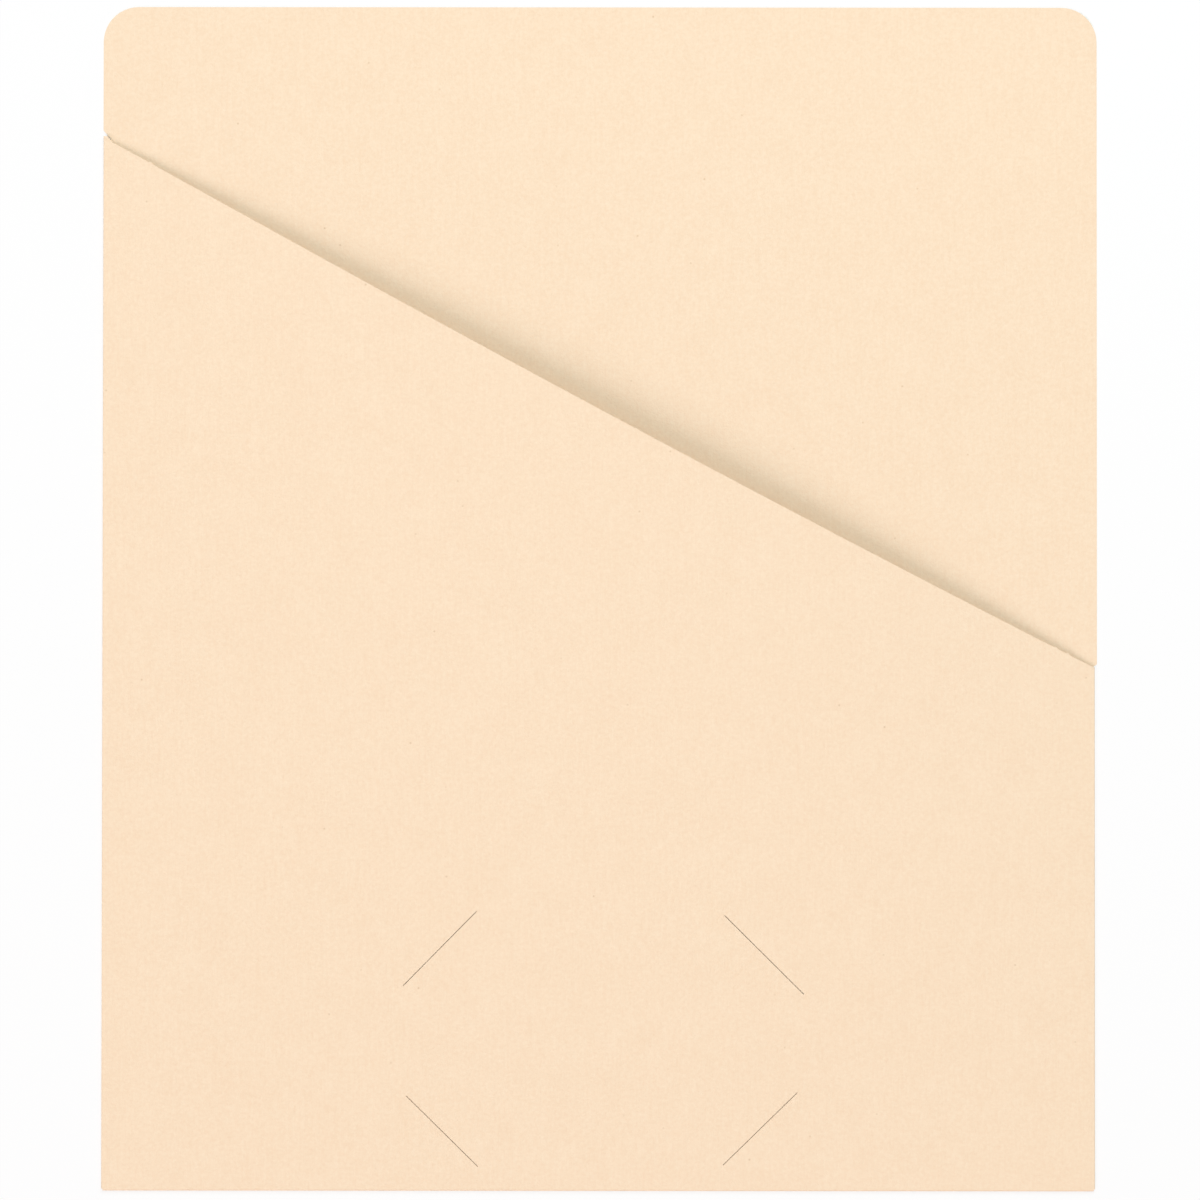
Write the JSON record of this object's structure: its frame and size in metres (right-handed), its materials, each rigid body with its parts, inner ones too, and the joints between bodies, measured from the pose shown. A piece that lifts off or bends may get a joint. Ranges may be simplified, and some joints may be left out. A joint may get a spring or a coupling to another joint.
{
  "type": "slash-pocket file jacket",
  "caption": "Flat manila card pocket for loose sheets: tall back with rounded top corners, front cut on a diagonal and closed on the other sides, with corner slits for a business card.",
  "frame": {"origin": "on the table, under the middle of the back panel, with the jacket lying on its back", "axes": "+X across the sheet to the right, +Y up the sheet towards the rounded corners, +Z out of the front"},
  "size_m": [0.2508, 0.2985, 0.0076],
  "materials": {
    "manila_card": "matte",
    "paper_glue": "satin"
  },
  "bodies": {
    "back": {"back_panel": "manila_card", "bottom_fold": "manila_card", "left_fold": "manila_card", "right_fold": "manila_card", "left_flap": "manila_card", "right_flap": "manila_card", "left_glue_line": "paper_glue", "right_glue_line": "paper_glue"},
    "front": {"front_panel": "manila_card"}
  },
  "joints": [
    {"name": "mouth", "type": "hinge", "parent": "back", "child": "front", "pos_m": [0, -0.14875, 0.00049], "axis": [1, 0, 0], "range_deg": [0, 5], "stiffness_Nm_per_rad": 0.15}
  ]
}
